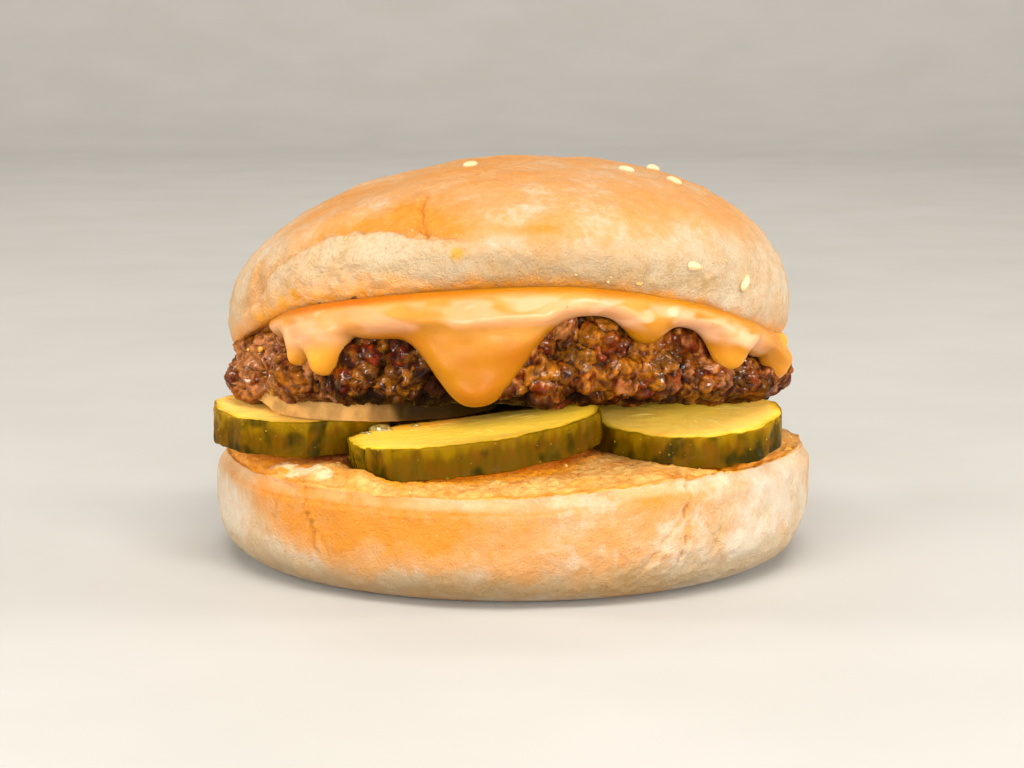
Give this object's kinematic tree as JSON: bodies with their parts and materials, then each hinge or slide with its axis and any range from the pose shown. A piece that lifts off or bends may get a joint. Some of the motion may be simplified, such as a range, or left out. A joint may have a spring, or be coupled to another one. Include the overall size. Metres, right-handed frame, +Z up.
{
  "type": "hamburger",
  "caption": "Hamburger: domed seeded bun crown, dripping cheese sauce, ground beef patty, pickle slices and a flat-footed bun heel.",
  "frame": {"origin": "centre of the bun heel's flat underside, on the surface that the burger stands on", "axes": "+Z up through the layers, -Y towards the front with the longest cheese drip, +X to the right seen from the front"},
  "size_m": [0.105, 0.105, 0.0698],
  "materials": {
    "bun_crown": "soft golden-brown baked crust, satin on top and floury below",
    "cheese_sauce": "smooth glossy orange sauce",
    "beef": "coarse, moist, browned ground beef",
    "pickle": "wet pickle, olive rind and pale yellow flesh",
    "bun_heel": "pale soft crust with a toasted cut face"
  },
  "bodies": {
    "root": {"bun_crown": "bun_crown", "cheese_sauce": "cheese_sauce", "patty": "beef", "pickle_left": "pickle", "pickle_centre": "pickle", "pickle_right": "pickle", "pickle_back": "pickle", "bun_heel": "bun_heel"}
  },
  "joints": []
}
